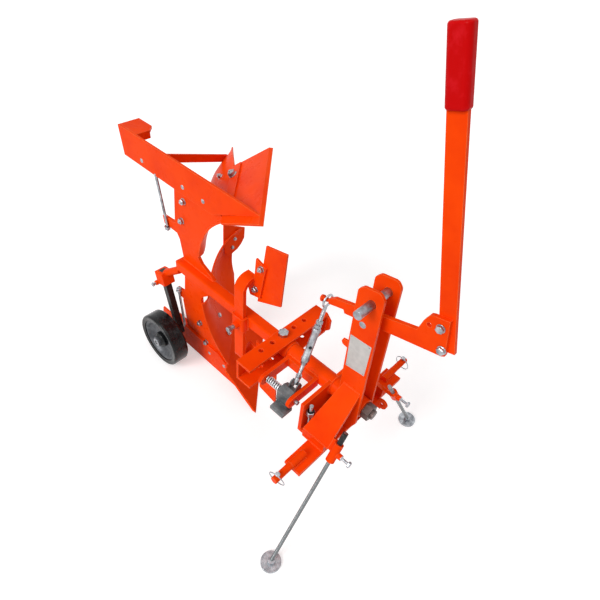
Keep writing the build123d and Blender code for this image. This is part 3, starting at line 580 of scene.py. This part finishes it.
# ---------------------------------------------------------------- link pins and stands
LINCH_Y, PIN_Z = 305, 361            # the linch pin's hole
ROD_FOOT_Y, ROD_FOOT_Z = 376, 14     # ends of a stand rod's centre line
ROD_TOP_Y, ROD_TOP_Z = 88, 488
SCREW_Z = 392                        # clamp screw on that line
for tag, side in (("left", 1), ("right", -1)):
    hole = at(0, side * LINCH_Y, PIN_Z)
    bm = bmesh.new()
    linch = [(3.2, -19), (4.4, -16), (4.4, 13), (6.5, 14), (7.5, 17), (7.5, 20), (5.5, 22)]
    revolve(bm, hole, (0, 0, 1), linch, 20)
    piece(f"linch_pin_{tag}", bm, "frame", "zinc")
    bm = bmesh.new()
    drop = hole + Vector((0, side * 2.0 * MM, (-4.0 if side < 0 else -8.0) * MM))
    sweep(bm, circle(drop, (0.12 * side, 1, 0.15), 26.0, 56), 1.7, 8, cyclic=True)
    piece(f"linch_ring_{tag}", bm, "frame", "zinc")

for tag, side in (("left", 1), ("right", -1)):
    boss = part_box(f"stand_clamp_{tag}")
    inwards = (ROD_TOP_Y - ROD_FOOT_Y) * (SCREW_Z - ROD_FOOT_Z) / (ROD_TOP_Z - ROD_FOOT_Z)
    tip = Vector((boss[1].x, side * (ROD_FOOT_Y + inwards) * MM, SCREW_Z * MM))
    ahead = Vector((1, 0, 0))
    bm = bmesh.new()
    add_washer(bm, tip, ahead, 8.8, -0.5, 1.8)
    revolve(bm, tip, ahead, thread(4.6, 0.4, 1.0, 24), 16)
    add_hex(bm, tip, ahead, 17.0, 24.0, 32.0, 0.6)
    piece(f"stand_screw_{tag}", bm, "frame", "zinc", edge=0.0003)

# ---------------------------------------------------------------- stop bolt nuts and the shaft's end
STOP_NUT_DROP = 43                   # from the bolt's top down to its nut
for tag in ("right", "left"):
    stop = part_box(f"stop_bolt_{tag}")
    foot_y = (stop[0].y + stop[1].y) / 2
    foot = Vector(((stop[0].x + stop[1].x) / 2, foot_y, stop[1].z - STOP_NUT_DROP * MM))
    up = Vector((0, 0, 1))
    bm = bmesh.new()
    add_hex(bm, foot, up, 23.5, 0.0, 17.0, 0.35)
    revolve(bm, foot, up, thread(6.4, 0.4, 18.0, 25), 18)
    piece(f"stop_nut_{tag}", bm, "frame", "zinc", edge=0.0004)
    bm = bmesh.new()
    revolve(bm, foot, up, [(10.6, 17.0), (10.6, 18.6), (9.6, 19.0)], 28)
    piece(f"stop_ring_{tag}", bm, "frame", "black_rubber")
shaft_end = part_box("turnover_shaft")[1].x
nut_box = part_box("shaft_nut")
nut_mid = Vector((nut_box[1].x, 0, axis_z))
bm = bmesh.new()
reach = (shaft_end - nut_box[1].x) / MM
turns = thread(15.7, 0.5, -0.2, int(reach / 1.2), 1.2)
revolve(bm, nut_mid, (1, 0, 0), turns + [(15.2, reach + 0.2), (13.0, reach + 0.5)], 32)
piece("shaft_end", bm, "turnover", "dark_steel")

# ---------------------------------------------------------------- data plate and mast tab
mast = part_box("mast_plate_right")
face_y = mast[0].y
corners = [(-27, 735), (41, 738.5), (41.5, 622.5), (-21, 615)]
bm = bmesh.new()
plate(bm, [Vector((x_of(x), face_y, z * MM)) for x, z in corners], Vector((0, -0.0009, 0)))
plate_metal = metal("plate_sheet", (0.60, 0.585, 0.56), (0.50, 0.49, 0.47),
                    0.35, 0.5, (1.0, 1.0, 9.0), 0.1, 0.35)
piece("data_plate_blank", bm, "frame", "bare_steel", material=plate_metal, edge=0.0003)
for k, (x, z) in enumerate(((-22, 731), (36, 733.5), (36.5, 628), (-17, 621))):
    bm = bmesh.new()
    spot = Vector((x_of(x), face_y - 0.0008, z * MM))
    revolve(bm, spot, side_dir, [(2.2, -0.2), (2.0, 0.6), (1.2, 1.1), (0.4, 1.3)], 16)
    piece(f"plate_rivet_{k}", bm, "frame", "zinc")
bm = bmesh.new()
tab = [(-30, 676), (-47, 679), (-52, 688), (-48, 699), (-31, 702)]
plate(bm, [Vector((x_of(x), -0.036, z * MM)) for x, z in tab], Vector((0, 0.006, 0)))
piece("mast_tab", bm, "frame", "orange_paint", edge=0.0008)

# ---------------------------------------------------------------- turnbuckle threads
link_low = at(-135, -103, 474)
ring_mid = at(-144.76, 4, 743.4)
link_dir = (link_low - ring_mid).normalized()
for k, (a, b) in enumerate(((30, 64), (218, 262))):
    bm = bmesh.new()
    revolve(bm, ring_mid, link_dir, thread(5.9, 0.5, a, int((b - a) / 0.9), 0.9), 18)
    piece(f"link_thread_{k}", bm, "link", "zinc")
bm = bmesh.new()
body_turns = [(9.4, 90), (12.6, 93), (12.6, 104), (11.2, 107)]
body_turns += [(11.2, 190), (12.6, 193), (12.6, 204), (9.4, 207)]
revolve(bm, ring_mid, link_dir, body_turns, 8, 0.3)
piece("link_body_sleeve", bm, "link", "zinc", edge=0.0006)
# black disc on the sleeve's side: painted shade standing in for the tommy bar hole
bm = bmesh.new()
slot_side = (side_dir - link_dir * side_dir.dot(link_dir)).normalized()
forward = Vector((0.8, 0, 0))
slot_side = (slot_side + forward - link_dir * forward.dot(link_dir)).normalized()
slot_mid = ring_mid + link_dir * 152 * MM
revolve(bm, slot_mid, slot_side, [(5.0, 8.0), (5.0, 11.4), (3.8, 11.6)], 24)
piece("link_tommy_hole_shade", bm, "link", "black_steel")
end_at = (link_low - ring_mid).length / MM
bm = bmesh.new()
add_hex(bm, ring_mid, link_dir, 17.0, end_at - 34, end_at - 24, 0.4)
end_turns = [(6.5, end_at - 25), (8.2, end_at - 22), (8.2, end_at - 4), (6.0, end_at)]
revolve(bm, ring_mid, link_dir, end_turns, 20)
piece("link_end", bm, "link", "zinc", edge=0.0003)
for k, x in enumerate((-149.5, -124.5)):
    bm = bmesh.new()
    ear = [(-121, 454), (-96, 446), (-90, 470), (-98, 486), (-110, 486), (-118, 474)]
    plate(bm, [at(x, y, z) for y, z in ear], Vector((0.004, 0, 0)))
    piece(f"latch_ear_{k}", bm, "latch", "cast_latch", edge=0.0006)

# ---------------------------------------------------------------- welds
for tag, s in (("right", -1), ("left", 1)):
    weld(f"weld_gusset_{tag}", [at(-14, s * 38, 542), at(46, s * 38, 542)], 3.2, "frame")
    weld(f"weld_mast_foot_{tag}", [at(-20, s * 39, 351), at(34, s * 39, 351)], 3.2, "frame")
    weld(f"weld_pin_front_{tag}", [at(11.5, s * 198, 351), at(11.5, s * 249, 351)], 3.0, "frame")
    weld(f"weld_pin_back_{tag}", [at(-11.5, s * 198, 351), at(-11.5, s * 249, 351)], 3.0, "frame")
    weld(f"weld_gusset_foot_{tag}", [at(-48, s * 150.5, 351), at(34, s * 150.5, 351)], 2.8, "frame")
    weld(f"weld_gusset_bend_{tag}", [at(-49, s * 149, 385), at(44, s * 149, 385)], 2.2, "frame")
weld("weld_tube_front", circle(Vector((x_of(-64.5), 0, axis_z)), (1, 0, 0), 30.6, 120), 3.0, "frame")
weld("weld_latch_web", [at(-234, -25.6, 461), at(-176, -25.6, 461)], 3.4, "frame")
weld("weld_latch_web_b", [at(-160, -25.6, 461), at(-110, -25.6, 461)], 3.4, "frame")
weld("weld_latch_under", [at(-234, -27.5, 430), at(-110, -27.5, 430)], 3.2, "frame")
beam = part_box("main_beam")
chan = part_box("cross_channel")


def seam(name, start, end, radius):
    """Straight weld on the turnover body between two places in metres."""
    weld(name, [Vector(start), Vector(end)], radius, "turnover")


for tag, y in (("side", beam[0].y - 0.0005), ("far", beam[1].y + 0.0005)):
    seam(f"weld_beam_{tag}", (chan[0].x, y, beam[0].z + 0.004), (chan[0].x, y, beam[1].z - 0.006), 3.4)
x, z = chan[0].x - 0.001, beam[1].z - 0.0005
seam("weld_beam_top", (x, beam[0].y + 0.006, z), (x, beam[1].y - 0.006, z), 3.0)
for k, y in enumerate((-4.2 * MM, 8.2 * MM)):
    for tag, front, z in (("upper", -636, beam[1].z + 0.0004), ("lower", -614, beam[0].z - 0.0004)):
        seam(f"weld_leg_{tag}_{k}", (x_of(-802), y, z), (x_of(front), y, z), 3.2)
y = clamp[1].y - 0.0005
for k, x in enumerate((clamp[0].x - 0.0003, clamp[1].x + 0.0003)):
    seam(f"weld_clamp_{k}", (x, y, clamp[0].z + 0.001), (x, y, clamp[1].z - 0.006), 3.0)
for tag in ("lower", "upper"):
    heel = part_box(f"heel_{tag}")
    y = heel[0].y + 0.001
    z = heel[0].z + 0.0095 if tag == "lower" else heel[1].z - 0.0095
    seam(f"weld_heel_{tag}", (heel[0].x + 0.004, y, z), (heel[1].x - 0.012, y, z), 2.6)
x, y = x_of(-253.5), chan[1].y - 0.0085
seam("weld_channel_end", (x, y, chan[0].z + 0.004), (x, y, chan[1].z - 0.004), 2.6)

# ---------------------------------------------------------------- floor, world and lamps
floor_mesh = bpy.data.meshes.new("floor")
floor_bm = bmesh.new()
bmesh.ops.create_grid(floor_bm, x_segments=1, y_segments=1, size=30.0)
floor_bm.to_mesh(floor_mesh)
floor_bm.free()
floor = bpy.data.objects.new("floor", floor_mesh)
bpy.context.scene.collection.objects.link(floor)
floor_mat = bpy.data.materials.new("floor_white")
floor_mat.use_nodes = True
tree = floor_mat.node_tree
tree.nodes.clear()
out = tree.nodes.new("ShaderNodeOutputMaterial")
matte = tree.nodes.new("ShaderNodeBsdfDiffuse")
matte.inputs["Color"].default_value = (0.80, 0.80, 0.80, 1.0)
glow = tree.nodes.new("ShaderNodeEmission")
glow.inputs["Color"].default_value = (1.0, 1.0, 1.0, 1.0)
path = tree.nodes.new("ShaderNodeLightPath")


def seen(tree, path):
    """1 for rays that show the backdrop: camera, glossy and transmission rays."""
    first = tree.nodes.new("ShaderNodeMath")
    first.operation = "MAXIMUM"
    tree.links.new(path.outputs["Is Camera Ray"], first.inputs[0])
    tree.links.new(path.outputs["Is Glossy Ray"], first.inputs[1])
    second = tree.nodes.new("ShaderNodeMath")
    second.operation = "MAXIMUM"
    tree.links.new(first.outputs[0], second.inputs[0])
    tree.links.new(path.outputs["Is Transmission Ray"], second.inputs[1])
    return second.outputs[0]


gain = tree.nodes.new("ShaderNodeMath")
gain.operation = "MULTIPLY"
gain.inputs[1].default_value = 0.42
tree.links.new(seen(tree, path), gain.inputs[0])
tree.links.new(gain.outputs[0], glow.inputs["Strength"])
both = tree.nodes.new("ShaderNodeAddShader")
tree.links.new(matte.outputs[0], both.inputs[0])
tree.links.new(glow.outputs[0], both.inputs[1])
tree.links.new(both.outputs[0], out.inputs["Surface"])
floor.data.materials.append(floor_mat)

world = bpy.data.worlds.new("studio")
bpy.context.scene.world = world
world.use_nodes = True
tree = world.node_tree
tree.nodes.clear()
out = tree.nodes.new("ShaderNodeOutputWorld")
ambient = tree.nodes.new("ShaderNodeBackground")
ambient.inputs["Color"].default_value = (1.0, 1.0, 1.0, 1.0)
ambient.inputs["Strength"].default_value = 0.38
backdrop = tree.nodes.new("ShaderNodeBackground")
backdrop.inputs["Color"].default_value = (1.0, 1.0, 1.0, 1.0)
backdrop.inputs["Strength"].default_value = 1.0
chooser = tree.nodes.new("ShaderNodeMixShader")
path = tree.nodes.new("ShaderNodeLightPath")
tree.links.new(seen(tree, path), chooser.inputs[0])
tree.links.new(ambient.outputs[0], chooser.inputs[1])
tree.links.new(backdrop.outputs[0], chooser.inputs[2])
tree.links.new(chooser.outputs[0], out.inputs["Surface"])


def sun(name, toward, strength, angle):
    """Distant soft lamp shining from a direction."""
    data = bpy.data.lights.new(name, "SUN")
    data.energy = strength
    data.angle = math.radians(angle)
    lamp = bpy.data.objects.new(name, data)
    lamp.rotation_mode = "QUATERNION"
    lamp.rotation_quaternion = Vector(toward).to_track_quat("Z", "Y")
    bpy.context.scene.collection.objects.link(lamp)


sun("key", (-0.10, -0.85, 0.62), 1.95, 30.0)
sun("top", (0.35, 0.10, 1.0), 0.60, 50.0)

# ---------------------------------------------------------------- camera
# solved from the photo: place from the lower link pins in millimetres, then view and right directions
data = bpy.data.cameras.new("camera")
data.sensor_width = 36.0
data.lens = 30.02
data.clip_end = 50.0
camera = bpy.data.objects.new("camera", data)
ahead = Vector((-0.455, 0.564, -0.689)).normalized()
right = Vector((0.7228, 0.6859, 0.0839))
right = (right - ahead * right.dot(ahead)).normalized()
above = right.cross(ahead)
turn = Matrix((right, above, -ahead)).transposed().to_4x4()
camera.matrix_world = Matrix.Translation(at(422.8, -820.5, 1682.6)) @ turn
bpy.context.scene.collection.objects.link(camera)
bpy.context.scene.camera = camera
bpy.context.scene.view_settings.view_transform = "Standard"
